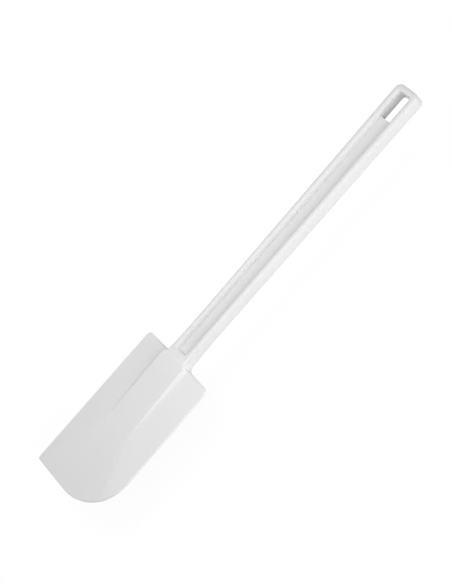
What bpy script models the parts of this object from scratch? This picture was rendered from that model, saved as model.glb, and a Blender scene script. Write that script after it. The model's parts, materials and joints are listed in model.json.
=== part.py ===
"""Rubber spatula: a moulded plastic handle whose tang runs inside a moulded rubber blade.

Metres, +Z up. The spatula lies flat with its blade towards -Y and its handle towards +Y. The origin is
on the surface it lies on, under the middle of its length and width. Every shape is the same above and
below the mid plane, so half thicknesses are measured from there.
"""

import math

import bmesh
import bpy
from mathutils import Matrix

# Blade outline, seen from above
BLADE_LENGTH = 0.118
BLADE_UPPER_WIDTH = 0.0686
BLADE_LOWER_WIDTH = 0.0706
BLADE_BIG_CORNER = 0.037
BLADE_UPPER_LEFT_CORNER = 0.003
BLADE_UPPER_RIGHT_CORNER = 0.0045
BLADE_SHARP_CORNER = 0.0014

# Blade thicknesses
BLADE_EDGE_THICKNESS = 0.0018
BLADE_SPINE_THICKNESS = 0.0068
BLADE_RIM_ROUNDING = 0.0006
SPINE_BULGE = 1.2

# Boss that covers the tang, and the collar round the handle's neck
BOSS_LENGTH = 0.058
BOSS_UPPER_WIDTH = 0.0232
BOSS_LOWER_WIDTH = 0.024
BOSS_THICKNESS = 0.0116
BOSS_LAND = 0.009
BOSS_END_NARROWING = 0.0017
BOSS_END_LENGTH = 0.002
BOSS_FLANK_ANGLE = math.radians(58)
COLLAR_LENGTH = 0.0039
COLLAR_PROUD = 0.0001
COLLAR_ROOT_FLARE = 0.0012
COLLAR_ROOT_PROUD = 0.00025
COLLAR_EDGE_ROUNDING = 0.0018
COLLAR_EMBEDDED = 0.0022

# Handle
HANDLE_REACH = 0.237
HANDLE_NECK_WIDTH = 0.0171
HANDLE_END_WIDTH = 0.0207
NECK_FLARE = 0.0009
NECK_FLARE_LENGTH = 0.03
HANDLE_THICKNESS = 0.011
HANDLE_END_CORNER = 0.0048
RAIL_DEPTH_ROUNDED = 0.002
RAIL_CREST_WIDTH = 0.0002

# Sunk panel on both faces of the handle, and the hanging slot at its end
PANEL_WIDTH = 0.0104
PANEL_BLOCK = 0.0008
PANEL_NECK_CORNER = 0.0026
PANEL_END_ROUNDING = 0.0014
WEB_THICKNESS = 0.0042
SLOT_LENGTH = 0.0205
SLOT_END_BAR = 0.0048
SLOT_CORNER = 0.0018
SLOT_RIM_ROUNDING = 0.001

# Tang inside the blade
TANG_LENGTH = 0.055
NECK_WIDTH = 0.0142
NECK_THICKNESS = 0.0068
TANG_END_WIDTH = 0.0128
TANG_END_THICKNESS = 0.0026
TANG_EDGE_ROUNDING = 0.0008
TANG_NOSE_LENGTH = 0.0015
TANG_NOSE_WIDTH = 0.0113
TANG_NOSE_THICKNESS = 0.002
TANG_HOLE_RADIUS = 0.003
TANG_HOLE_DISTANCES = (0.016, 0.036)

# Clearance between the two mouldings, and how far cutters run past a wall
CLEARANCE = 0.0003
CUT_PAST = 0.001

# Fineness of the rounded forms
CORNER_STEPS = 6
ROUNDING_STEPS = 3
SHARP_CORNER_STEPS = 3
BIG_CORNER_STEPS = 10
NECK_FLARE_STEPS = 3
COLLAR_STEPS = 3
BOSS_END_ROWS = 2
LAND_ROWS = 2
BOSS_ROWS = 7
FREE_ROWS = 11
BOSS_COLUMNS = 6
WING_COLUMNS = 3
CIRCLE_STEPS = 24

# Both mouldings are white, and the rubber is the duller one
HANDLE_COLOUR = (0.75, 0.75, 0.745, 1.0)
HANDLE_ROUGHNESS = 0.35
HANDLE_SHARP_ANGLE = math.radians(40)
BLADE_COLOUR = (0.80, 0.80, 0.795, 1.0)
BLADE_ROUGHNESS = 0.5
BLADE_SHARP_ANGLE = math.radians(30)

# Places that follow from the sizes
OVERALL_LENGTH = BLADE_LENGTH + HANDLE_REACH
Y_BOTTOM = -OVERALL_LENGTH / 2
Y_EDGE = Y_BOTTOM + BLADE_LENGTH
Y_END = Y_EDGE + HANDLE_REACH
Y_SHOULDER = Y_EDGE + COLLAR_LENGTH + CLEARANCE
Y_PANEL = Y_SHOULDER + PANEL_BLOCK + PANEL_END_ROUNDING
Y_SLOT_END = Y_END - SLOT_END_BAR
Y_WEB_END = Y_SLOT_END - SLOT_LENGTH
Z_MID = BOSS_THICKNESS / 2
LOWER_HALF = BLADE_LOWER_WIDTH / 2


def clear_scene():
    for obj in list(bpy.data.objects):
        bpy.data.objects.remove(obj, do_unlink=True)


def material(name, colour, roughness):
    made = bpy.data.materials.new(name)
    made.use_nodes = True
    shader = made.node_tree.nodes["Principled BSDF"]
    shader.inputs["Base Color"].default_value = colour
    shader.inputs["Roughness"].default_value = roughness
    shader.inputs["Metallic"].default_value = 0.0
    return made


def new_object(name, mesh_data):
    """An object whose origin is on the blade's bending axis, from a bmesh in world places."""
    bmesh.ops.recalc_face_normals(mesh_data, faces=mesh_data.faces[:])
    mesh = bpy.data.meshes.new(name)
    mesh_data.to_mesh(mesh)
    mesh_data.free()
    mesh.transform(Matrix.Translation((0.0, -Y_EDGE, -Z_MID)))
    obj = bpy.data.objects.new(name, mesh)
    obj.location = (0.0, Y_EDGE, Z_MID)
    bpy.context.scene.collection.objects.link(obj)
    return obj


def as_helper(obj):
    obj.hide_render = True
    obj.display_type = "WIRE"
    return obj


def boolean(obj, operation, other):
    step = obj.modifiers.new(f"{operation.lower()} {other.name}", "BOOLEAN")
    step.operation = operation
    step.object = other
    step.solver = "EXACT"


def smooth(obj, sharp_angle):
    obj.data.shade_smooth()
    obj.data.set_sharp_from_angle(angle=sharp_angle)


def strip(mesh_data, first, second, closed=True):
    """Quads between two rows of vertices of the same length."""
    count = len(first)
    for i in range(count if closed else count - 1):
        j = (i + 1) % count
        mesh_data.faces.new((first[i], first[j], second[j], second[i]))


# Lofted bars: sections are rounded rectangles square to the Y axis


def section_points(half_width, half_height, radius):
    """A rounded rectangle as (x, z) pairs, anticlockwise."""
    points = []
    for quarter, (side_x, side_z) in enumerate(((1, 1), (-1, 1), (-1, -1), (1, -1))):
        for step in range(ROUNDING_STEPS + 1):
            angle = math.pi / 2 * (quarter + step / ROUNDING_STEPS)
            x = side_x * (half_width - radius) + radius * math.cos(angle)
            z = side_z * (half_height - radius) + radius * math.sin(angle)
            points.append((x, z))
    return points


def lofted_bar(name, sections):
    """A solid through sections given as (y, half width, half height, corner radius)."""
    mesh_data = bmesh.new()
    rings = []
    for y, half_width, half_height, radius in sections:
        points = section_points(half_width, half_height, radius)
        rings.append([mesh_data.verts.new((x, y, Z_MID + z)) for x, z in points])
    for first, second in zip(rings, rings[1:]):
        strip(mesh_data, first, second)
    mesh_data.faces.new(rings[0])
    mesh_data.faces.new(rings[-1])
    return as_helper(new_object(name, mesh_data))


def tang_bar(name, clearance, y_mouth):
    """The neck and tang, grown by a clearance on every side, from y_mouth down to the tang's end."""
    y_tip = Y_EDGE - TANG_LENGTH
    places = (
        (y_mouth, NECK_WIDTH, NECK_THICKNESS),
        (Y_EDGE, NECK_WIDTH, NECK_THICKNESS),
        (y_tip + TANG_NOSE_LENGTH, TANG_END_WIDTH, TANG_END_THICKNESS),
        (y_tip - clearance, TANG_NOSE_WIDTH, TANG_NOSE_THICKNESS),
    )
    return lofted_bar(name, [
        (y, width / 2 + clearance, thickness / 2 + clearance, TANG_EDGE_ROUNDING)
        for y, width, thickness in places
    ])


def tang_hole_posts(name, radius):
    """Upright posts where the tang's holes are."""
    mesh_data = bmesh.new()
    for distance in TANG_HOLE_DISTANCES:
        bmesh.ops.create_cone(
            mesh_data, cap_ends=True, segments=CIRCLE_STEPS, radius1=radius, radius2=radius,
            depth=BOSS_THICKNESS - BLADE_EDGE_THICKNESS,
            matrix=Matrix.Translation((0.0, Y_EDGE - distance, Z_MID)),
        )
    return as_helper(new_object(name, mesh_data))


# Handle


def corner_arc(centre_x, centre_y, reach_x, reach_y, start):
    """A quarter turn of plan points, anticlockwise from the start angle."""
    points = []
    for step in range(CORNER_STEPS + 1):
        angle = start + math.pi / 2 * step / CORNER_STEPS
        points.append((centre_x + reach_x * math.cos(angle), centre_y + reach_y * math.sin(angle)))
    return points


def straight_half_width(y):
    along = (y - Y_EDGE) / HANDLE_REACH
    return (HANDLE_NECK_WIDTH + (HANDLE_END_WIDTH - HANDLE_NECK_WIDTH) * along) / 2


def handle_half_width(y):
    """Half the handle's width, which flares near the blade."""
    near = max(0.0, 1 - (y - Y_SHOULDER) / NECK_FLARE_LENGTH)
    return straight_half_width(y) + NECK_FLARE * near ** 2


def rail_rounding(y):
    """How far each side of the rail beside the panel is rounded over."""
    return (straight_half_width(y) - PANEL_WIDTH / 2 - RAIL_CREST_WIDTH) / 2


def flare_places():
    """Places along the handle where its flaring sides need points, towards the neck."""
    first, last = Y_SHOULDER + NECK_FLARE_LENGTH, Y_PANEL + PANEL_NECK_CORNER
    return [first + (last - first) * step / NECK_FLARE_STEPS for step in range(NECK_FLARE_STEPS)]


def handle_side(y, share):
    return handle_half_width(y) - share * rail_rounding(y)


def panel_side(y, share):
    return PANEL_WIDTH / 2 + share * rail_rounding(y)


def neck_corner(share, side):
    """As many plan points as a corner arc has, but round the square corner at the handle's neck."""
    down_steps = CORNER_STEPS // 2
    across_steps = CORNER_STEPS - down_steps
    places = [Y_SHOULDER + PANEL_NECK_CORNER * (1 - step / down_steps) for step in range(down_steps)]
    points = [(side * handle_side(y, share), y) for y in places]
    for step in range(across_steps + 1):
        inwards = PANEL_NECK_CORNER * step / across_steps
        points.append((side * (handle_side(Y_SHOULDER, share) - inwards), Y_SHOULDER))
    return points if side < 0 else points[::-1]


def handle_outline(share):
    """Plan points of the handle, anticlockwise from its right side beside the web's end.

    They are drawn in by a share of the rail's rounding.
    """
    radius = HANDLE_END_CORNER - share * rail_rounding(Y_END)
    y_corner = Y_END - HANDLE_END_CORNER
    centre_x = handle_half_width(y_corner) - HANDLE_END_CORNER
    points = [(handle_side(Y_WEB_END, share), Y_WEB_END)]
    points += corner_arc(centre_x, y_corner, radius, radius, 0.0)
    points += corner_arc(-centre_x, y_corner, radius, radius, math.pi / 2)
    points += [(-handle_side(y, share), y) for y in [Y_WEB_END] + flare_places()]
    points += neck_corner(share, -1) + neck_corner(share, 1)
    points += [(handle_side(y, share), y) for y in flare_places()[::-1]]
    return points


def panel_outline(share):
    """Plan points of the sunk panel and slot, matched one to one with the handle's outline.

    They are spread by a share of the rail's rounding.
    """
    side = PANEL_WIDTH / 2
    end_x, end_y = side - SLOT_CORNER, Y_SLOT_END - SLOT_CORNER
    neck_x, neck_y = side - PANEL_NECK_CORNER, Y_PANEL + PANEL_NECK_CORNER
    end_across = SLOT_CORNER + share * rail_rounding(Y_END)
    end_along = SLOT_CORNER + share * SLOT_RIM_ROUNDING
    neck_across = PANEL_NECK_CORNER + share * rail_rounding(neck_y)
    neck_along = PANEL_NECK_CORNER + share * PANEL_END_ROUNDING
    points = [(panel_side(Y_WEB_END, share), Y_WEB_END)]
    points += corner_arc(end_x, end_y, end_across, end_along, 0.0)
    points += corner_arc(-end_x, end_y, end_across, end_along, math.pi / 2)
    points += [(-panel_side(y, share), y) for y in [Y_WEB_END] + flare_places()]
    points += corner_arc(-neck_x, neck_y, neck_across, neck_along, math.pi)
    points += corner_arc(neck_x, neck_y, neck_across, neck_along, math.pi * 1.5)
    points += [(panel_side(y, share), y) for y in flare_places()[::-1]]
    return points


def handle_levels():
    """(plan points, height) from the handle's side over its rail and down to the web."""
    top = HANDLE_THICKNESS / 2
    levels = []
    for step in range(ROUNDING_STEPS + 1):
        angle = math.pi / 2 * step / ROUNDING_STEPS
        sunk = RAIL_DEPTH_ROUNDED * (1 - math.sin(angle))
        levels.append((handle_outline(1 - math.cos(angle)), top - sunk))
    for step in range(ROUNDING_STEPS, -1, -1):
        angle = math.pi / 2 * step / ROUNDING_STEPS
        sunk = RAIL_DEPTH_ROUNDED * (1 - math.sin(angle))
        levels.append((panel_outline(1 - math.cos(angle)), top - sunk))
    levels.append((panel_outline(0.0), WEB_THICKNESS / 2))
    return levels


def handle_bar():
    """The handle without its tang: rails, web and slot."""
    mesh_data = bmesh.new()
    levels = handle_levels()
    upper = [[mesh_data.verts.new((x, y, Z_MID + z)) for x, y in plan] for plan, z in levels]
    lower = [[mesh_data.verts.new((x, y, Z_MID - z)) for x, y in plan] for plan, z in levels]
    for rings in (upper, lower):
        for first, second in zip(rings, rings[1:]):
            strip(mesh_data, first, second)
    strip(mesh_data, upper[0], lower[0])
    # The web fills the panel up to its end. Past that, the slot's wall joins the two faces.
    web_last = 2 * (CORNER_STEPS + 1) + 1
    slot_upper, slot_lower = upper[-1][:web_last + 1], lower[-1][:web_last + 1]
    strip(mesh_data, slot_upper, slot_lower, closed=False)
    for ring in (upper[-1], lower[-1]):
        mesh_data.faces.new(ring[web_last:] + ring[:1])
    mesh_data.faces.new((upper[-1][0], upper[-1][web_last], lower[-1][web_last], lower[-1][0]))
    return new_object("handle", mesh_data)


def make_handle():
    handle = handle_bar()
    boolean(handle, "UNION", tang_bar("tang_blank", 0.0, Y_SHOULDER + PANEL_BLOCK))
    boolean(handle, "DIFFERENCE", tang_hole_posts("tang_hole_cutter", TANG_HOLE_RADIUS))
    handle.data.materials.append(material("handle_plastic", HANDLE_COLOUR, HANDLE_ROUGHNESS))
    smooth(handle, HANDLE_SHARP_ANGLE)
    return handle


# Blade


def blade_half_width(y):
    along = (Y_EDGE - y) / BLADE_LENGTH
    return (BLADE_UPPER_WIDTH + (BLADE_LOWER_WIDTH - BLADE_UPPER_WIDTH) * along) / 2


def boss_half_width(y):
    """Half the boss's width, drawn in at its upper end to meet the collar."""
    along = min(1.0, (Y_EDGE - y) / BOSS_LENGTH)
    near_end = max(0.0, 1 - (Y_EDGE - y) / BOSS_END_LENGTH)
    straight = (BOSS_UPPER_WIDTH + (BOSS_LOWER_WIDTH - BOSS_UPPER_WIDTH) * along) / 2
    return straight - BOSS_END_NARROWING * near_end ** 2


def spine_height(y):
    """Half thickness along the middle: level land, then the boss's taper, then a bulging taper."""
    down = Y_EDGE - y
    boss, spine, edge = BOSS_THICKNESS / 2, BLADE_SPINE_THICKNESS / 2, BLADE_EDGE_THICKNESS / 2
    if down <= BOSS_LAND:
        return boss
    if down <= BOSS_LENGTH:
        return boss + (spine - boss) * (down - BOSS_LAND) / (BOSS_LENGTH - BOSS_LAND)
    along = min(1.0, (down - BOSS_LENGTH) / (BLADE_LENGTH - BOSS_LENGTH))
    return edge + (spine - edge) * (1 - along ** SPINE_BULGE)


def wing_slope():
    """How fast the blade thins sideways, so that its faces meet the spine where the boss fades out."""
    rise = (BLADE_SPINE_THICKNESS - BLADE_EDGE_THICKNESS) / 2
    return rise / (blade_half_width(Y_EDGE - BOSS_LENGTH) - BOSS_LOWER_WIDTH / 2)


def wing_height(x, y):
    return BLADE_EDGE_THICKNESS / 2 + wing_slope() * max(0.0, blade_half_width(y) - abs(x))


def blade_height(x, y):
    """Half thickness of the blade at a plan point."""
    spine = spine_height(y)
    beside_boss = max(0.0, abs(x) - boss_half_width(y))
    flank = spine - beside_boss * math.tan(BOSS_FLANK_ANGLE)
    return min(spine, max(wing_height(x, y), flank))


def boss_foot(y):
    """How far from the middle the boss's flank meets the wing."""
    side = boss_half_width(y)
    steep = math.tan(BOSS_FLANK_ANGLE)
    drop = spine_height(y) - wing_height(side, y)
    return side + max(BLADE_RIM_ROUNDING, drop / (steep - wing_slope()))


def corner_rise(radius, inset, into_corner):
    """How far an edge with a rounded corner stands back from its straight line."""
    across = max(0.0, into_corner)
    return radius - math.sqrt(max(0.0, (radius - inset) ** 2 - across ** 2))


def upper_edge(x, inset):
    """The blade's upper edge at a nominal x, with its two small corners."""
    radius = BLADE_UPPER_RIGHT_CORNER if x > 0 else BLADE_UPPER_LEFT_CORNER
    return Y_EDGE - corner_rise(radius, inset, abs(x) - (LOWER_HALF - radius))


def lower_edge(x, inset):
    """The blade's lower edge at a nominal x: a big corner on the right, a nearly sharp one on the left."""
    into_big = x - (LOWER_HALF - BLADE_BIG_CORNER)
    if into_big > 0:
        return Y_BOTTOM + corner_rise(BLADE_BIG_CORNER, inset, into_big)
    into_sharp = -x - (LOWER_HALF - BLADE_SHARP_CORNER)
    return Y_BOTTOM + corner_rise(BLADE_SHARP_CORNER, inset, into_sharp)


def blade_columns(y, inset):
    """Nominal x of every grid column at a height y, left to right."""
    flare = blade_half_width(y) / LOWER_HALF
    top, foot = boss_half_width(y) / flare, boss_foot(y) / flare
    widest_foot = boss_foot(Y_EDGE - BOSS_END_LENGTH) / flare
    corner_x = LOWER_HALF - BLADE_UPPER_LEFT_CORNER
    columns = []
    for step in range(SHARP_CORNER_STEPS + 1):
        angle = math.pi / 2 * step / SHARP_CORNER_STEPS
        columns.append(-corner_x - (BLADE_UPPER_LEFT_CORNER - inset) * math.cos(angle))
    for step in range(1, WING_COLUMNS + 1):
        columns.append(-corner_x + (corner_x - widest_foot) * step / (WING_COLUMNS + 1))
    columns.append(-foot)
    for step in range(BOSS_COLUMNS + 1):
        columns.append(-top + 2 * top * step / BOSS_COLUMNS)
    columns.append(foot)
    centre_x = LOWER_HALF - BLADE_BIG_CORNER
    radius = BLADE_BIG_CORNER - inset
    start = math.asin((widest_foot - centre_x) / radius)
    for step in range(1, BIG_CORNER_STEPS + 1):
        angle = start + (math.pi / 2 - start) * step / BIG_CORNER_STEPS
        columns.append(centre_x + radius * math.sin(angle))
    return columns


def blade_rows():
    """Distances below the upper edge of every grid row."""
    rows = [BOSS_END_LENGTH * step / BOSS_END_ROWS for step in range(BOSS_END_ROWS)]
    rows += [BOSS_END_LENGTH + (BOSS_LAND - BOSS_END_LENGTH) * step / LAND_ROWS for step in range(LAND_ROWS)]
    rows += [BOSS_LAND + (BOSS_LENGTH - BOSS_LAND) * step / BOSS_ROWS for step in range(BOSS_ROWS)]
    rows += [BOSS_LENGTH + (BLADE_LENGTH - BOSS_LENGTH) * step / FREE_ROWS for step in range(FREE_ROWS + 1)]
    return rows


def blade_point(down, column, inset):
    """Plan place of a grid point. Rows bend to the upper corners at the top and to the lower edge below."""
    y = Y_EDGE - down
    x = blade_columns(y, inset)[column]
    if down < BOSS_LAND:
        y += (upper_edge(x, inset) - Y_EDGE) * (1 - down / BOSS_LAND)
    if down > BOSS_LENGTH:
        y += (lower_edge(x, inset) - Y_BOTTOM) * (down - BOSS_LENGTH) / (BLADE_LENGTH - BOSS_LENGTH)
    return x * blade_half_width(y) / LOWER_HALF, y


def blade_border(rows, columns):
    """Grid places round the border, anticlockwise from the upper left."""
    last_row, last_column = rows - 1, columns - 1
    down_left = [(row, 0) for row in range(last_row)]
    along_bottom = [(last_row, column) for column in range(last_column)]
    up_right = [(row, last_column) for row in range(last_row, 0, -1)]
    along_top = [(0, column) for column in range(last_column, 0, -1)]
    return down_left + along_bottom + up_right + along_top


def blade_plate():
    """The blade with its boss, as one solid without pocket or collar."""
    mesh_data = bmesh.new()
    rows = blade_rows()
    column_count = len(blade_columns(Y_EDGE, 0.0))
    faces = []
    for sign in (1, -1):
        grid = []
        for down in rows:
            plan = [blade_point(down, column, BLADE_RIM_ROUNDING) for column in range(column_count)]
            grid.append([mesh_data.verts.new((x, y, Z_MID + sign * blade_height(x, y))) for x, y in plan])
        for first, second in zip(grid, grid[1:]):
            strip(mesh_data, first, second, closed=False)
        border = blade_border(len(rows), column_count)
        rings = [[grid[row][column] for row, column in border]]
        for step in range(1, ROUNDING_STEPS + 1):
            angle = math.pi / 2 * step / ROUNDING_STEPS
            inset = BLADE_RIM_ROUNDING * (1 - math.sin(angle))
            sunk = BLADE_RIM_ROUNDING * (1 - math.cos(angle))
            ring = []
            for row, column in border:
                x, y = blade_point(rows[row], column, inset)
                height = grid[row][column].co.z - sign * sunk
                ring.append(mesh_data.verts.new((x, y, height)))
            rings.append(ring)
        for first, second in zip(rings, rings[1:]):
            strip(mesh_data, first, second)
        faces.append(rings[-1])
    strip(mesh_data, faces[0], faces[1])
    return new_object("blade", mesh_data)


def collar_bar():
    """The short collar that grips the handle's neck, flaring into the boss."""
    half_width, half_height = handle_half_width(Y_SHOULDER), HANDLE_THICKNESS / 2
    places = [(Y_EDGE - COLLAR_EMBEDDED, COLLAR_ROOT_FLARE, COLLAR_ROOT_PROUD)]
    for step in range(COLLAR_STEPS + 1):
        along = step / COLLAR_STEPS
        flare = COLLAR_PROUD + (COLLAR_ROOT_FLARE - COLLAR_PROUD) * (1 - along) ** 3
        proud = COLLAR_PROUD + (COLLAR_ROOT_PROUD - COLLAR_PROUD) * (1 - along)
        places.append((Y_EDGE + COLLAR_LENGTH * along, flare, proud))
    return lofted_bar("collar_blank", [
        (y, half_width + flare, half_height + proud, COLLAR_EDGE_ROUNDING)
        for y, flare, proud in places
    ])


def make_blade():
    blade = blade_plate()
    boolean(blade, "UNION", collar_bar())
    pocket = tang_bar("pocket_cutter", CLEARANCE, Y_EDGE + COLLAR_LENGTH + CUT_PAST)
    boolean(pocket, "DIFFERENCE", tang_hole_posts("plug_keeper", TANG_HOLE_RADIUS - CLEARANCE))
    boolean(blade, "DIFFERENCE", pocket)
    blade.data.materials.append(material("blade_rubber", BLADE_COLOUR, BLADE_ROUGHNESS))
    smooth(blade, BLADE_SHARP_ANGLE)
    return blade


def main():
    clear_scene()
    make_handle()
    make_blade()


main()
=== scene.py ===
"""Look of the rubber spatula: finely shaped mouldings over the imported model, with floor, light and camera.

Metres, +Z up. The spatula lies flat with its blade towards -Y and its handle towards +Y. Both faces are
alike, so half thicknesses are measured from the mid plane.
"""

import json
import math

import bmesh
import bpy
import numpy as np
from mathutils import Matrix, Vector


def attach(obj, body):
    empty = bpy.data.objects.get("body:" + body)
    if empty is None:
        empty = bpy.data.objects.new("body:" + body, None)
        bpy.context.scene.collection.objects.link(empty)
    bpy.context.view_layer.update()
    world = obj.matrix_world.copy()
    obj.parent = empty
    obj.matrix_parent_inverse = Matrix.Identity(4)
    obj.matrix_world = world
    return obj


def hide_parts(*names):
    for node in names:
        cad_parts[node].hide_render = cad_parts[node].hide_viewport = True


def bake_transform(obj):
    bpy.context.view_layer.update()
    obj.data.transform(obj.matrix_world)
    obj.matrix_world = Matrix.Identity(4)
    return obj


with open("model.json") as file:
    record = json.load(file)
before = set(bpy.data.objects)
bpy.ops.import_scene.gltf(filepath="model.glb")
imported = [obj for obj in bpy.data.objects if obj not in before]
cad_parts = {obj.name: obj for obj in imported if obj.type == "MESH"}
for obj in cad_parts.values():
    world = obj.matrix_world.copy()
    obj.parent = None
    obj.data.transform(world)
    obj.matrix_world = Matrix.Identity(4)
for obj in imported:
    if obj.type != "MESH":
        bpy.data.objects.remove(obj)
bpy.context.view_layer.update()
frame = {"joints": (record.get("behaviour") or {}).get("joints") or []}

# Blade sizes
BLADE_LENGTH = 0.118
BLADE_UPPER_WIDTH = 0.0686
BLADE_LOWER_WIDTH = 0.0706
BLADE_BIG_CORNER = 0.037
BLADE_UPPER_LEFT_CORNER = 0.003
BLADE_UPPER_RIGHT_CORNER = 0.0045
BLADE_SHARP_CORNER = 0.0014
BLADE_EDGE_THICKNESS = 0.0018
BLADE_SPINE_THICKNESS = 0.0068
BLADE_RIM_ROUNDING = 0.0006
SPINE_BULGE = 1.2
BOSS_LENGTH = 0.058
BOSS_UPPER_WIDTH = 0.0232
BOSS_LOWER_WIDTH = 0.024
BOSS_THICKNESS = 0.0116
BOSS_LAND = 0.009
BOSS_END_NARROWING = 0.0017
BOSS_END_LENGTH = 0.002
BOSS_FLANK_ANGLE = math.radians(58)
COLLAR_LENGTH = 0.0041
COLLAR_PROUD = 0.0001
COLLAR_ROOT_FLARE = 0.0012
COLLAR_ROOT_PROUD = 0.00025
COLLAR_EDGE_ROUNDING = 0.0018
COLLAR_EMBEDDED = 0.0022

# The gap between collar and handle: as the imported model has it, and as it is drawn here
JOINT_LINE = 0.0001
JOINT_LINE_SEEN = 0.00002

# How softly the blade's surfaces run into each other, as heights where two of them meet
BOSS_EDGE_SOFTNESS = 0.0006
BOSS_FOOT_SOFTNESS = 0.0014
SPINE_SOFTNESS = 0.00025
LAND_SOFTNESS = SPINE_SOFTNESS / 2

# The share of the boss's length, at its lower end, in which its edges sharpen to the spine's softness
BOSS_FADE = 0.4

# Handle sizes
HANDLE_REACH = 0.237
HANDLE_NECK_WIDTH = 0.0171
HANDLE_END_WIDTH = 0.0207
NECK_FLARE = 0.0009
NECK_FLARE_LENGTH = 0.03
HANDLE_THICKNESS = 0.011
HANDLE_END_CORNER = 0.0048
RAIL_DEPTH_ROUNDED = 0.002
RAIL_CREST_WIDTH = 0.0002
PANEL_WIDTH = 0.0104
PANEL_BLOCK = 0.0008
PANEL_NECK_CORNER = 0.0026
PANEL_END_ROUNDING = 0.0014
WEB_THICKNESS = 0.0042
WEB_FILLET = 0.0006
SLOT_LENGTH = 0.0205
SLOT_END_BAR = 0.0048
SLOT_CORNER = 0.0018
SLOT_RIM_ROUNDING = 0.001
TANG_LENGTH = 0.055
NECK_WIDTH = 0.0142
NECK_THICKNESS = 0.0068
TANG_END_WIDTH = 0.0128
TANG_END_THICKNESS = 0.0026
TANG_EDGE_ROUNDING = 0.0008
TANG_NOSE_LENGTH = 0.0015
TANG_NOSE_WIDTH = 0.0113
TANG_NOSE_THICKNESS = 0.002
TANG_HOLE_RADIUS = 0.003
TANG_HOLE_DISTANCES = (0.016, 0.036)
CLEARANCE = 0.0003
CUT_PAST = 0.001

# Fineness: steps along each rounding, and rows and columns of the blade's grid
CORNER_STEPS = 14
NECK_FLARE_STEPS = 12
ROUNDING_STEPS = 8
RIM_STEPS = 5
WEB_FILLET_STEPS = 5
WEB_FILLET_MARGIN = 0.0002
CIRCLE_STEPS = 48
ROW_STEP = 0.0014
BOSS_END_ROWS = 8
MIDDLE_COLUMNS = 16
CREASE_INNER = 0.0106
CREASE_OUTER = 0.0166
CREASE_COLUMNS = 24
WING_COLUMNS = 16
CORNER_COLUMNS = 8
SMOOTH_ANGLE = math.radians(35)

# Places that follow from the sizes
Y_BOTTOM = -(BLADE_LENGTH + HANDLE_REACH) / 2
Y_EDGE = Y_BOTTOM + BLADE_LENGTH
Y_END = Y_EDGE + HANDLE_REACH
Y_SHOULDER = Y_EDGE + COLLAR_LENGTH + JOINT_LINE
Y_PANEL = Y_SHOULDER + PANEL_BLOCK + PANEL_END_ROUNDING
Y_SLOT_END = Y_END - SLOT_END_BAR
Y_WEB_END = Y_SLOT_END - SLOT_LENGTH
Z_MID = BOSS_THICKNESS / 2
LOWER_HALF = BLADE_LOWER_WIDTH / 2

# The floor lies just under the lowest place that the tip would reach if the whole blade turned on its joint
FLEX = frame["joints"][0]
FLEX_REACH = (FLEX["pos_m"][1] - Y_BOTTOM) * math.sin(math.radians(max(FLEX["range_deg"])))
FLOOR_GAP = 0.0005
FLOOR_HEIGHT = Z_MID - FLEX_REACH - BLADE_EDGE_THICKNESS / 2 - FLOOR_GAP

# The photograph's angle: how far the camera goes round the spatula's length, tilts along it and rolls
CAMERA_TURN = math.radians(36.0)
CAMERA_TILT = math.radians(4.294)
CAMERA_ROLL = math.radians(-0.585)

# Where the spatula's middle lies from the camera's axis, right and down in the image, and how far away it is
CAMERA_AIM = (0.00696, 0.00141)
CAMERA_DISTANCE = 0.9853

# The way from blade to handle in the image, right and down, and the lens
AXIS_IN_IMAGE = (0.664, -0.748)
FOCAL_PIXELS = 1471.0
IMAGE_HEIGHT = 584
SENSOR = 36.0
CLIP_START = 0.01


def mesh_object(name, vertices, faces):
    mesh = bpy.data.meshes.new(name)
    mesh.from_pydata([tuple(v) for v in vertices], [], [tuple(f) for f in faces])
    made = bpy.data.objects.new(name, mesh)
    bpy.context.scene.collection.objects.link(made)
    fix = bmesh.new()
    fix.from_mesh(mesh)
    bmesh.ops.recalc_face_normals(fix, faces=fix.faces[:])
    fix.to_mesh(mesh)
    fix.free()
    return made


class Builder:
    """Collects vertices and faces row by row."""

    def __init__(self):
        self.vertices = []
        self.faces = []

    def row(self, points):
        """Adds the points and gives their places in the list of vertices."""
        first = len(self.vertices)
        self.vertices += points
        return list(range(first, len(self.vertices)))

    def strip(self, one, two, closed=True):
        """Joins two rows of equal length with a strip of faces."""
        count = len(one)
        for i in range(count if closed else count - 1):
            j = (i + 1) % count
            self.faces.append((one[i], one[j], two[j], two[i]))

    def build(self, name):
        return mesh_object(name, self.vertices, self.faces)


def apply_boolean(target, operation, other):
    """Joins the other object to the target or cuts it out, and removes it."""
    step = target.modifiers.new(operation, "BOOLEAN")
    step.operation = operation
    step.object = other
    step.solver = "EXACT"
    bpy.context.view_layer.update()
    graph = bpy.context.evaluated_depsgraph_get()
    result = bpy.data.meshes.new_from_object(target.evaluated_get(graph))
    target.modifiers.clear()
    old = target.data
    target.data = result
    bpy.data.meshes.remove(old)
    bpy.data.objects.remove(other)


def smooth(obj):
    obj.data.shade_smooth()
    obj.data.set_sharp_from_angle(angle=SMOOTH_ANGLE)


# Lofted bars


def section_points(half_width, half_height, radius, y):
    """Points round a bar's section, a rectangle with rounded corners."""
    points = []
    for quarter, (side_x, side_z) in enumerate(((1, 1), (-1, 1), (-1, -1), (1, -1))):
        for step in range(ROUNDING_STEPS + 1):
            angle = math.pi / 2 * (quarter + step / ROUNDING_STEPS)
            x = side_x * (half_width - radius) + radius * math.cos(angle)
            z = side_z * (half_height - radius) + radius * math.sin(angle)
            points.append((x, y, Z_MID + z))
    return points


def lofted_bar(name, sections):
    """A closed bar through sections, each given by its y, half width, half height and corner radius."""
    shape = Builder()
    rings = [shape.row(section_points(half_width, half_height, radius, y))
             for y, half_width, half_height, radius in sections]
    for one, two in zip(rings, rings[1:]):
        shape.strip(one, two)
    shape.faces.append(rings[0])
    shape.faces.append(rings[-1])
    return shape.build(name)


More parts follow.
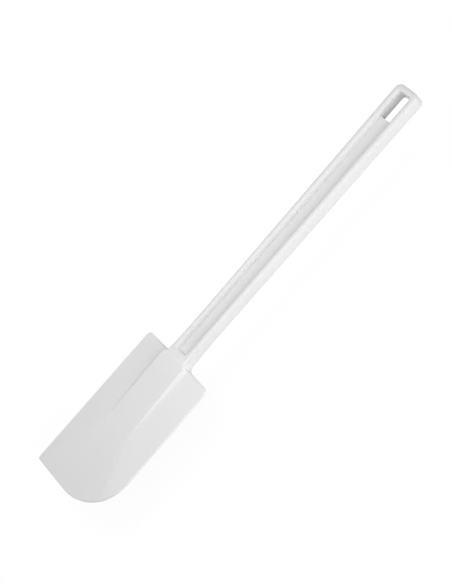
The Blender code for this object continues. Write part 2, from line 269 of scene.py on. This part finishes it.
def tang_bar(name, clearance, y_mouth):
    """The handle's tang, or with a clearance the space that it takes in the blade."""
    y_tip = Y_EDGE - TANG_LENGTH
    places = (
        (y_mouth, NECK_WIDTH, NECK_THICKNESS),
        (Y_EDGE, NECK_WIDTH, NECK_THICKNESS),
        (y_tip + TANG_NOSE_LENGTH, TANG_END_WIDTH, TANG_END_THICKNESS),
        (y_tip - clearance, TANG_NOSE_WIDTH, TANG_NOSE_THICKNESS),
    )
    return lofted_bar(name, [
        (y, width / 2 + clearance, thickness / 2 + clearance, TANG_EDGE_ROUNDING)
        for y, width, thickness in places
    ])


def tang_hole_posts(name, radius):
    """Round posts where the tang's holes are: they cut the holes, or keep the rubber plugs in them."""
    posts = bmesh.new()
    for distance in TANG_HOLE_DISTANCES:
        bmesh.ops.create_cone(
            posts, cap_ends=True, segments=CIRCLE_STEPS, radius1=radius, radius2=radius,
            depth=BOSS_THICKNESS - BLADE_EDGE_THICKNESS,
            matrix=Matrix.Translation((0.0, Y_EDGE - distance, Z_MID)),
        )
    mesh = bpy.data.meshes.new(name)
    posts.to_mesh(mesh)
    posts.free()
    made = bpy.data.objects.new(name, mesh)
    bpy.context.scene.collection.objects.link(made)
    return made


# Handle


def corner_arc(centre_x, centre_y, reach_x, reach_y, start):
    angles = [start + math.pi / 2 * step / CORNER_STEPS for step in range(CORNER_STEPS + 1)]
    return [(centre_x + reach_x * math.cos(a), centre_y + reach_y * math.sin(a)) for a in angles]


def straight_half_width(y):
    along = (y - Y_EDGE) / HANDLE_REACH
    return (HANDLE_NECK_WIDTH + (HANDLE_END_WIDTH - HANDLE_NECK_WIDTH) * along) / 2


def handle_half_width(y):
    """Half the handle's width, which flares near the blade."""
    near = max(0.0, 1 - (y - Y_SHOULDER) / NECK_FLARE_LENGTH)
    return straight_half_width(y) + NECK_FLARE * near ** 2


def rail_rounding(y):
    """How far each side of the rail beside the panel is rounded over."""
    return (straight_half_width(y) - PANEL_WIDTH / 2 - RAIL_CREST_WIDTH) / 2


def flare_places():
    """Places along the handle where its flaring sides need points, towards the neck."""
    first, last = Y_SHOULDER + NECK_FLARE_LENGTH, Y_PANEL + PANEL_NECK_CORNER
    return [first + (last - first) * step / NECK_FLARE_STEPS for step in range(NECK_FLARE_STEPS)]


def handle_side(y, share):
    """How far out the handle's side lies when drawn in by a share of the rail's rounding."""
    return handle_half_width(y) - share * rail_rounding(y)


def panel_side(y, share):
    """How far out the panel's wall lies when spread by a share of the rail's rounding."""
    return PANEL_WIDTH / 2 + share * rail_rounding(y)


def neck_corner(share, side):
    """As many plan points as a corner arc has, but round the square corner at the handle's neck."""
    down_steps = CORNER_STEPS // 2
    across_steps = CORNER_STEPS - down_steps
    places = [Y_SHOULDER + PANEL_NECK_CORNER * (1 - step / down_steps) for step in range(down_steps)]
    points = [(side * handle_side(y, share), y) for y in places]
    for step in range(across_steps + 1):
        inwards = PANEL_NECK_CORNER * step / across_steps
        points.append((side * (handle_side(Y_SHOULDER, share) - inwards), Y_SHOULDER))
    return points if side < 0 else points[::-1]


def handle_outline(share):
    """Plan points of the handle, drawn in by a share of the rails' rounding."""
    radius = HANDLE_END_CORNER - share * rail_rounding(Y_END)
    y_corner = Y_END - HANDLE_END_CORNER
    centre_x = handle_half_width(y_corner) - HANDLE_END_CORNER
    points = [(handle_side(Y_WEB_END, share), Y_WEB_END)]
    points += corner_arc(centre_x, y_corner, radius, radius, 0.0)
    points += corner_arc(-centre_x, y_corner, radius, radius, math.pi / 2)
    points += [(-handle_side(y, share), y) for y in [Y_WEB_END] + flare_places()]
    points += neck_corner(share, -1) + neck_corner(share, 1)
    points += [(handle_side(y, share), y) for y in flare_places()[::-1]]
    return points


def panel_outline(share):
    """Plan points of the panel and slot, spread by a share of the rails' rounding."""
    side = PANEL_WIDTH / 2
    end_x, end_y = side - SLOT_CORNER, Y_SLOT_END - SLOT_CORNER
    neck_x, neck_y = side - PANEL_NECK_CORNER, Y_PANEL + PANEL_NECK_CORNER
    end_across = SLOT_CORNER + share * rail_rounding(Y_END)
    end_along = SLOT_CORNER + share * SLOT_RIM_ROUNDING
    neck_across = PANEL_NECK_CORNER + share * rail_rounding(neck_y)
    neck_along = PANEL_NECK_CORNER + share * PANEL_END_ROUNDING
    points = [(panel_side(Y_WEB_END, share), Y_WEB_END)]
    points += corner_arc(end_x, end_y, end_across, end_along, 0.0)
    points += corner_arc(-end_x, end_y, end_across, end_along, math.pi / 2)
    points += [(-panel_side(y, share), y) for y in [Y_WEB_END] + flare_places()]
    points += corner_arc(-neck_x, neck_y, neck_across, neck_along, math.pi)
    points += corner_arc(neck_x, neck_y, neck_across, neck_along, math.pi * 1.5)
    points += [(panel_side(y, share), y) for y in flare_places()[::-1]]
    return points


def handle_levels():
    """Outlines and heights over the rail: the handle's side, the crest and the panel's wall."""
    top = HANDLE_THICKNESS / 2
    levels = []
    for step in range(ROUNDING_STEPS + 1):
        angle = math.pi / 2 * step / ROUNDING_STEPS
        sunk = RAIL_DEPTH_ROUNDED * (1 - math.sin(angle))
        levels.append((handle_outline(1 - math.cos(angle)), top - sunk))
    for step in range(ROUNDING_STEPS, -1, -1):
        angle = math.pi / 2 * step / ROUNDING_STEPS
        sunk = RAIL_DEPTH_ROUNDED * (1 - math.sin(angle))
        levels.append((panel_outline(1 - math.cos(angle)), top - sunk))
    levels.append((panel_outline(0.0), WEB_THICKNESS / 2 + WEB_FILLET))
    return levels


def web_outline(inset):
    """Plan points round the web, from its left end at the slot to its right end.

    They are drawn in from the panel's wall by the inset.
    """
    side, corner = PANEL_WIDTH / 2, PANEL_NECK_CORNER - inset
    neck_x, neck_y = side - PANEL_NECK_CORNER, Y_PANEL + PANEL_NECK_CORNER
    places = [Y_WEB_END] + flare_places()
    points = [(inset - side, y) for y in places]
    points += corner_arc(-neck_x, neck_y, corner, corner, math.pi)
    points += corner_arc(neck_x, neck_y, corner, corner, math.pi * 1.5)
    points += [(side - inset, y) for y in places[::-1]]
    return points


def web_levels():
    """The rounded foot of the panel's wall, and the level web just inside it."""
    levels = []
    for step in range(1, WEB_FILLET_STEPS + 1):
        angle = math.pi / 2 * step / WEB_FILLET_STEPS
        raised = WEB_FILLET * (1 - math.sin(angle))
        levels.append((web_outline(WEB_FILLET * (1 - math.cos(angle))), WEB_THICKNESS / 2 + raised))
    levels.append((web_outline(WEB_FILLET + WEB_FILLET_MARGIN), WEB_THICKNESS / 2))
    return levels


def add_web(shape, foot, sign):
    """Closes one face's panel below the foot of its wall. Gives the points of the web's end at the slot."""
    loops = [foot]
    loops += [shape.row([(x, y, Z_MID + sign * z) for x, y in plan]) for plan, z in web_levels()]
    for one, two in zip(loops, loops[1:]):
        shape.strip(one, two, closed=False)
    shape.faces.append(loops[-1])
    return [loop[0] for loop in loops] + [loop[-1] for loop in loops[::-1]]


def handle_shell():
    """The handle without its tang. Its last outlines run round the slot first and then round the web."""
    shape = Builder()
    levels = handle_levels()
    upper = [shape.row([(x, y, Z_MID + z) for x, y in plan]) for plan, z in levels]
    lower = [shape.row([(x, y, Z_MID - z) for x, y in plan]) for plan, z in levels]
    for rings in (upper, lower):
        for one, two in zip(rings, rings[1:]):
            shape.strip(one, two)
    shape.strip(upper[0], lower[0])
    web_start = 2 * (CORNER_STEPS + 1) + 1
    shape.strip(upper[-1][:web_start + 1], lower[-1][:web_start + 1], closed=False)
    upper_end = add_web(shape, upper[-1][web_start:] + upper[-1][:1], 1)
    lower_end = add_web(shape, lower[-1][web_start:] + lower[-1][:1], -1)
    shape.faces.append(upper_end + lower_end[::-1])
    return shape.build("spatula_handle")


def make_handle():
    handle = handle_shell()
    apply_boolean(handle, "UNION", tang_bar("tang_blank", 0.0, Y_SHOULDER + PANEL_BLOCK))
    apply_boolean(handle, "DIFFERENCE", tang_hole_posts("tang_hole_cutter", TANG_HOLE_RADIUS))
    smooth(handle)
    return handle


# Blade


def smooth_max(a, b, softness):
    """The larger of two heights, with a soft transition where they are nearly equal."""
    near = np.maximum(softness - np.abs(a - b), 0.0) / softness
    return np.maximum(a, b) + near * near * softness / 4


def smooth_min(a, b, softness):
    return -smooth_max(-a, -b, softness)


def blade_half_width(y):
    along = (Y_EDGE - y) / BLADE_LENGTH
    return (BLADE_UPPER_WIDTH + (BLADE_LOWER_WIDTH - BLADE_UPPER_WIDTH) * along) / 2


def boss_half_width(y):
    along = np.clip((Y_EDGE - y) / BOSS_LENGTH, 0.0, 1.0)
    near_end = np.clip(1 - (Y_EDGE - y) / BOSS_END_LENGTH, 0.0, 1.0)
    straight = (BOSS_UPPER_WIDTH + (BOSS_LOWER_WIDTH - BOSS_UPPER_WIDTH) * along) / 2
    return straight - BOSS_END_NARROWING * near_end ** 2


def spine_height(down):
    """Half thickness along the middle: level land, the boss's taper, then the free part's taper."""
    boss, spine, edge = BOSS_THICKNESS / 2, BLADE_SPINE_THICKNESS / 2, BLADE_EDGE_THICKNESS / 2
    boss_taper = boss + (spine - boss) * (down - BOSS_LAND) / (BOSS_LENGTH - BOSS_LAND)
    along = np.clip((down - BOSS_LENGTH) / (BLADE_LENGTH - BOSS_LENGTH), 0.0, 1.0)
    free_taper = edge + (spine - edge) * (1 - along ** SPINE_BULGE)
    height = np.where(down < BOSS_LENGTH, boss_taper, free_taper)
    return smooth_min(np.full_like(height, boss), height, LAND_SOFTNESS)


def blade_height(x, y):
    """Half thickness of the blade at plan points."""
    down = Y_EDGE - y
    spine = spine_height(down)
    rise = (BLADE_SPINE_THICKNESS - BLADE_EDGE_THICKNESS) / 2
    slope = rise / (blade_half_width(Y_EDGE - BOSS_LENGTH) - BOSS_LOWER_WIDTH / 2)
    wing = BLADE_EDGE_THICKNESS / 2 + slope * np.maximum(0.0, blade_half_width(y) - np.abs(x))
    flank = spine - (np.abs(x) - boss_half_width(y)) * math.tan(BOSS_FLANK_ANGLE)
    beside = smooth_max(wing, flank, BOSS_FOOT_SOFTNESS)
    boss_share = np.clip((BOSS_LENGTH - down) / (BOSS_LENGTH * BOSS_FADE), 0.0, 1.0)
    softness = SPINE_SOFTNESS + (BOSS_EDGE_SOFTNESS - SPINE_SOFTNESS) * boss_share
    return smooth_min(spine, beside, softness)


def corner_rise(radius, inset, into_corner):
    """How far a rounded corner, drawn in by the inset, lies from the edge that it leaves."""
    across = np.maximum(0.0, into_corner)
    return radius - np.sqrt(np.maximum(0.0, (radius - inset) ** 2 - across ** 2))


def upper_edge(x, inset):
    left = corner_rise(BLADE_UPPER_LEFT_CORNER, inset, -x - (LOWER_HALF - BLADE_UPPER_LEFT_CORNER))
    right = corner_rise(BLADE_UPPER_RIGHT_CORNER, inset, x - (LOWER_HALF - BLADE_UPPER_RIGHT_CORNER))
    return Y_EDGE - np.maximum(left, right)


def lower_edge(x, inset):
    big = corner_rise(BLADE_BIG_CORNER, inset, x - (LOWER_HALF - BLADE_BIG_CORNER))
    sharp = corner_rise(BLADE_SHARP_CORNER, inset, -x - (LOWER_HALF - BLADE_SHARP_CORNER))
    return Y_BOTTOM + np.maximum(big, sharp)


def blade_columns(inset):
    """Nominal x of the grid's columns, close together where the boss's sides and the corners are."""
    corner_x = LOWER_HALF - BLADE_UPPER_LEFT_CORNER
    left_angles = np.linspace(0, math.pi / 2, CORNER_COLUMNS + 1)
    left = -corner_x - (BLADE_UPPER_LEFT_CORNER - inset) * np.cos(left_angles)
    left_wing = np.linspace(-corner_x, -CREASE_OUTER, WING_COLUMNS + 1)[1:]
    left_crease = np.linspace(-CREASE_OUTER, -CREASE_INNER, CREASE_COLUMNS + 1)[1:]
    middle = np.linspace(-CREASE_INNER, CREASE_INNER, MIDDLE_COLUMNS + 1)[1:]
    right_crease = np.linspace(CREASE_INNER, CREASE_OUTER, CREASE_COLUMNS + 1)[1:]
    centre_x, radius = LOWER_HALF - BLADE_BIG_CORNER, BLADE_BIG_CORNER - inset
    start = math.asin((CREASE_OUTER - centre_x) / radius)
    right_angles = np.linspace(start, math.pi / 2, WING_COLUMNS + CORNER_COLUMNS + 1)[1:]
    right = centre_x + radius * np.sin(right_angles)
    return np.concatenate((left, left_wing, left_crease, middle, right_crease, right))


def blade_plan(downs, inset):
    """Plan places of the grid, rows from the upper edge down."""
    x = np.tile(blade_columns(inset), (len(downs), 1))
    down = np.tile(np.array(downs)[:, None], (1, x.shape[1]))
    y = Y_EDGE - down
    near_top = np.clip(1 - down / BOSS_LAND, 0.0, 1.0)
    near_bottom = np.clip((down - BOSS_LENGTH) / (BLADE_LENGTH - BOSS_LENGTH), 0.0, 1.0)
    y = y + (upper_edge(x, inset) - Y_EDGE) * near_top + (lower_edge(x, inset) - Y_BOTTOM) * near_bottom
    return x * blade_half_width(y) / LOWER_HALF, y


def blade_border(rows, columns):
    """Row and column of each place round the grid's border."""
    last_row, last_column = rows - 1, columns - 1
    down_left = [(row, 0) for row in range(last_row)]
    along_bottom = [(last_row, column) for column in range(last_column)]
    up_right = [(row, last_column) for row in range(last_row, 0, -1)]
    along_top = [(0, column) for column in range(last_column, 0, -1)]
    return down_left + along_bottom + up_right + along_top


def blade_rows():
    """Distances below the upper edge of the grid's rows."""
    boss_end = np.linspace(0.0, BOSS_END_LENGTH, BOSS_END_ROWS + 1)
    further = np.arange(BLADE_LENGTH, BOSS_END_LENGTH + ROW_STEP / 2, -ROW_STEP)[::-1]
    return np.concatenate((boss_end, further))


def blade_face(shape, sign):
    """The upper or lower face of the blade and its rounded rim. Gives the rim's last ring."""
    downs = blade_rows()
    x, y = blade_plan(downs, BLADE_RIM_ROUNDING)
    height = blade_height(x, y)
    z = Z_MID + sign * height
    grid = [shape.row(list(zip(x[row], y[row], z[row]))) for row in range(len(downs))]
    for one, two in zip(grid, grid[1:]):
        shape.strip(one, two, closed=False)
    border = blade_border(*x.shape)
    rings = [[grid[row][column] for row, column in border]]
    for step in range(1, RIM_STEPS + 1):
        angle = math.pi / 2 * step / RIM_STEPS
        rim_x, rim_y = blade_plan(downs, BLADE_RIM_ROUNDING * (1 - math.sin(angle)))
        sunk = BLADE_RIM_ROUNDING * (1 - math.cos(angle))
        rim_z = Z_MID + sign * (height - sunk)
        rings.append(shape.row([(rim_x[place], rim_y[place], rim_z[place]) for place in border]))
    for one, two in zip(rings, rings[1:]):
        shape.strip(one, two)
    return rings[-1]


def blade_plate():
    """The blade with its boss: two alike faces, joined round the rim."""
    shape = Builder()
    shape.strip(blade_face(shape, 1), blade_face(shape, -1))
    return shape.build("spatula_blade")


def collar_bar():
    """The collar round the handle's neck, flared where it runs into the blade."""
    half_width, half_height = handle_half_width(Y_SHOULDER), HANDLE_THICKNESS / 2
    reach = Y_SHOULDER - JOINT_LINE_SEEN - Y_EDGE
    sections = [(Y_EDGE - COLLAR_EMBEDDED, half_width + COLLAR_ROOT_FLARE, half_height + COLLAR_ROOT_PROUD,
                 COLLAR_EDGE_ROUNDING)]
    for step in range(ROUNDING_STEPS + 1):
        along = step / ROUNDING_STEPS
        flare = COLLAR_PROUD + (COLLAR_ROOT_FLARE - COLLAR_PROUD) * (1 - along) ** 3
        proud = COLLAR_PROUD + (COLLAR_ROOT_PROUD - COLLAR_PROUD) * (1 - along)
        sections.append((Y_EDGE + reach * along, half_width + flare, half_height + proud,
                         COLLAR_EDGE_ROUNDING))
    return lofted_bar("collar_blank", sections)


def make_blade():
    """The blade with its collar, hollowed for the tang but for the plugs that fill the tang's holes."""
    blade = blade_plate()
    apply_boolean(blade, "UNION", collar_bar())
    pocket = tang_bar("pocket_cutter", CLEARANCE, Y_EDGE + COLLAR_LENGTH + CUT_PAST)
    apply_boolean(pocket, "DIFFERENCE", tang_hole_posts("plug_keeper", TANG_HOLE_RADIUS - CLEARANCE))
    apply_boolean(blade, "DIFFERENCE", pocket)
    smooth(blade)
    return blade


# Materials

WHITE = (1.0, 1.0, 1.0, 1.0)
HANDLE_LOOK = {
    "colour": (0.77, 0.77, 0.77), "shade": 0.985, "roughness": 0.48,
    "grain_size": 0.0012, "grain_depth": 0.000006, "specular": 0.45,
}
BLADE_LOOK = {
    "colour": (0.8, 0.8, 0.8), "shade": 0.98, "roughness": 0.52,
    "grain_size": 0.0005, "grain_depth": 0.00003, "specular": 0.4,
}
NOISE_MIDDLE = (0.3, 0.7)
CLOUD_SCALE, CLOUD_DETAIL = 35.0, 3.0
GLOSS_SCALE, GLOSS_DETAIL, GLOSS_SPREAD = 180.0, 4.0, 0.05
GRAIN_DETAIL, GRAIN_STRENGTH = 2.0, 0.35


def node(tree, kind, **inputs):
    """A new node with values on its inputs, named with underscores for spaces."""
    made = tree.nodes.new(kind)
    for name, value in inputs.items():
        made.inputs[name.replace("_", " ")].default_value = value
    return made


def cleared_tree(owner):
    """The node tree of a material or world, switched on and empty."""
    owner.use_nodes = True
    owner.node_tree.nodes.clear()
    return owner.node_tree


def mixed(tree, share, first, second):
    """The first shader where the share is 0, and the second where it is 1."""
    made = tree.nodes.new("ShaderNodeMixShader")
    tree.links.new(share, made.inputs[0])
    tree.links.new(first.outputs[0], made.inputs[1])
    tree.links.new(second.outputs[0], made.inputs[2])
    return made


def noise(tree, coordinates, scale, detail):
    made = node(tree, "ShaderNodeTexNoise", Scale=scale, Detail=detail)
    tree.links.new(coordinates.outputs["Object"], made.inputs["Vector"])
    return made


def spread(tree, source, low, high):
    """The source's middle range turned into low to high."""
    first, last = NOISE_MIDDLE
    made = node(tree, "ShaderNodeMapRange", From_Min=first, From_Max=last, To_Min=low, To_Max=high)
    tree.links.new(source.outputs["Fac"], made.inputs["Value"])
    return made


def moulded(name, colour, shade, roughness, grain_size, grain_depth, specular):
    """A moulded surface: colour with a faint cloudiness, uneven gloss and a fine grain."""
    made = bpy.data.materials.new(name)
    made.use_nodes = True
    tree = made.node_tree
    shader = tree.nodes["Principled BSDF"]
    shader.inputs["Specular IOR Level"].default_value = specular
    coordinates = tree.nodes.new("ShaderNodeTexCoord")
    cloud = noise(tree, coordinates, CLOUD_SCALE, CLOUD_DETAIL)
    mix = tree.nodes.new("ShaderNodeMix")
    mix.data_type = "RGBA"
    mix.inputs["A"].default_value = (*[part * shade for part in colour], 1.0)
    mix.inputs["B"].default_value = (*colour, 1.0)
    tree.links.new(spread(tree, cloud, 0.0, 1.0).outputs["Result"], mix.inputs["Factor"])
    tree.links.new(mix.outputs["Result"], shader.inputs["Base Color"])
    gloss = noise(tree, coordinates, GLOSS_SCALE, GLOSS_DETAIL)
    uneven = spread(tree, gloss, roughness - GLOSS_SPREAD, roughness + GLOSS_SPREAD)
    tree.links.new(uneven.outputs["Result"], shader.inputs["Roughness"])
    grain = noise(tree, coordinates, 1.0 / grain_size, GRAIN_DETAIL)
    bump = node(tree, "ShaderNodeBump", Strength=GRAIN_STRENGTH, Distance=grain_depth)
    tree.links.new(grain.outputs["Fac"], bump.inputs["Height"])
    tree.links.new(bump.outputs["Normal"], shader.inputs["Normal"])
    return made


def dress(obj, material):
    """Gives the object this material alone, in a single slot."""
    obj.data.materials.clear()
    obj.data.materials.append(material)


# Floor, light and camera

# The rays that see the white ground itself rather than the light that it throws back
SEEING_RAYS = ("Is Camera Ray", "Is Glossy Ray", "Is Transmission Ray")
FLOOR_SIZE = 8.0
FLOOR_COLOUR = (0.8, 0.8, 0.8, 1.0)
FLOOR_SEEN_COLOUR = (0.1, 0.1, 0.1, 1.0)
FLOOR_SEEN_GLOW = 0.925
BOUNCE_SHEET_DROP = 0.0015
WORLD_STRENGTH = 0.391

# Soft lamps round the middle of the handle: turn from +X towards +Y, angle above the floor, power
LAMP_AIM = Vector((0.0, 0.0, 0.0))
LAMP_DISTANCE = 0.5
LAMP_SIZE = 0.4
LAMPS = {
    "side_lamp": (0.0, 24.0, 1.236),
    "end_lamp": (45.0, 24.0, 0.48),
    "far_lamp": (180.0, 42.0, 0.194),
    "high_far_lamp": (180.0, 68.0, 0.83),
}


def seeing_share(tree):
    """1 for the seeing rays and 0 for all others."""
    path = tree.nodes.new("ShaderNodeLightPath")
    total = path.outputs[SEEING_RAYS[0]]
    for name in SEEING_RAYS[1:]:
        larger = tree.nodes.new("ShaderNodeMath")
        larger.operation = "MAXIMUM"
        tree.links.new(total, larger.inputs[0])
        tree.links.new(path.outputs[name], larger.inputs[1])
        total = larger.outputs[0]
    return total


def level_sheet(name, height, material):
    """A large level square that belongs to the stage and not to the spatula."""
    half = FLOOR_SIZE / 2
    corners = [(x, y, height) for x, y in ((-half, -half), (half, -half), (half, half), (-half, half))]
    sheet = mesh_object(name, corners, [(0, 1, 2, 3)])
    sheet.data.materials.append(material)
    return sheet


def show_from_above(tree, surface):
    """Gives the sheet this surface from above. From below, light and the camera pass through it."""
    clear = node(tree, "ShaderNodeBsdfTransparent", Color=WHITE)
    side = tree.nodes.new("ShaderNodeNewGeometry")
    output = tree.nodes.new("ShaderNodeOutputMaterial")
    one_sided = mixed(tree, side.outputs["Backfacing"], surface, clear)
    tree.links.new(one_sided.outputs[0], output.inputs["Surface"])


def make_bounce_sheet():
    """Lies just under the resting spatula and throws light back up on to it.

    Lamps, the camera and a blade that bends down all go through it unseen.
    """
    made = bpy.data.materials.new("bounce_paper")
    tree = cleared_tree(made)
    show_from_above(tree, node(tree, "ShaderNodeBsdfDiffuse", Color=FLOOR_COLOUR))
    sheet = level_sheet("bounce_sheet", -BOUNCE_SHEET_DROP, made)
    sheet.visible_camera = False
    sheet.visible_glossy = False
    sheet.visible_transmission = False
    sheet.visible_shadow = False


def make_floor():
    """The floor that the camera sees, white and with the spatula's soft shadow."""
    made = bpy.data.materials.new("floor_paper")
    tree = cleared_tree(made)
    lit = node(tree, "ShaderNodeBsdfDiffuse", Color=FLOOR_COLOUR)
    shaded = node(tree, "ShaderNodeBsdfDiffuse", Color=FLOOR_SEEN_COLOUR)
    glow = node(tree, "ShaderNodeEmission", Color=WHITE, Strength=FLOOR_SEEN_GLOW)
    seen = tree.nodes.new("ShaderNodeAddShader")
    tree.links.new(shaded.outputs[0], seen.inputs[0])
    tree.links.new(glow.outputs[0], seen.inputs[1])
    show_from_above(tree, mixed(tree, seeing_share(tree), lit, seen))
    level_sheet("floor", FLOOR_HEIGHT, made)


def make_world():
    """Even light from all round, and a white background where it is seen."""
    world = bpy.data.worlds.new("studio")
    tree = cleared_tree(world)
    lit = node(tree, "ShaderNodeBackground", Color=WHITE, Strength=WORLD_STRENGTH)
    seen = node(tree, "ShaderNodeBackground", Color=WHITE, Strength=1.0)
    output = tree.nodes.new("ShaderNodeOutputWorld")
    studio = mixed(tree, seeing_share(tree), lit, seen)
    tree.links.new(studio.outputs[0], output.inputs["Surface"])
    bpy.context.scene.world = world


def make_lamp(name, turn, height, power):
    data = bpy.data.lights.new(name, "AREA")
    data.shape = "DISK"
    data.size = LAMP_SIZE
    data.energy = power
    turn, height = math.radians(turn), math.radians(height)
    flat = math.cos(height)
    way = Vector((flat * math.cos(turn), flat * math.sin(turn), math.sin(height)))
    lamp = bpy.data.objects.new(name, data)
    lamp.location = LAMP_AIM + way * LAMP_DISTANCE
    lamp.rotation_euler = (-way).to_track_quat("-Z", "Y").to_euler()
    bpy.context.scene.collection.objects.link(lamp)


def turned(one, two, angle):
    """The matrix that turns one axis by the angle towards another."""
    matrix = np.eye(3)
    matrix[one, one] = matrix[two, two] = math.cos(angle)
    matrix[one, two], matrix[two, one] = -math.sin(angle), math.sin(angle)
    return matrix


def camera_axes():
    """Rows: image right, image down and depth, each in world axes."""
    right, down = np.array(AXIS_IN_IMAGE) / np.hypot(*AXIS_IN_IMAGE)
    flat = np.array([[-down, right, 0.0], [right, down, 0.0], [0.0, 0.0, -1.0]])
    x, y, z = range(3)
    return turned(x, y, CAMERA_ROLL) @ flat @ turned(y, z, CAMERA_TILT) @ turned(x, z, CAMERA_TURN)


def make_camera():
    axes = camera_axes()
    right, down, depth = axes
    place = -axes.T @ np.array((*CAMERA_AIM, CAMERA_DISTANCE)) + np.array((0.0, 0.0, Z_MID))
    facing = np.stack((right, -down, -depth), axis=1)
    data = bpy.data.cameras.new("camera")
    data.sensor_width = SENSOR
    data.lens = FOCAL_PIXELS / IMAGE_HEIGHT * SENSOR
    data.clip_start = CLIP_START
    camera = bpy.data.objects.new("camera", data)
    camera.matrix_world = Matrix.Translation(place) @ Matrix(facing).to_4x4()
    bpy.context.scene.collection.objects.link(camera)
    bpy.context.scene.camera = camera


def make_spatula():
    handle = make_handle()
    dress(handle, moulded("handle_moulded", **HANDLE_LOOK))
    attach(handle, "handle")
    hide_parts("handle")
    blade = make_blade()
    dress(blade, moulded("blade_moulded", **BLADE_LOOK))
    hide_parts("blade")
    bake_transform(blade)


bpy.context.scene.view_settings.view_transform = "Standard"
make_world()
make_floor()
make_bounce_sheet()
for lamp_name, place_and_power in LAMPS.items():
    make_lamp(lamp_name, *place_and_power)
make_camera()
make_spatula()
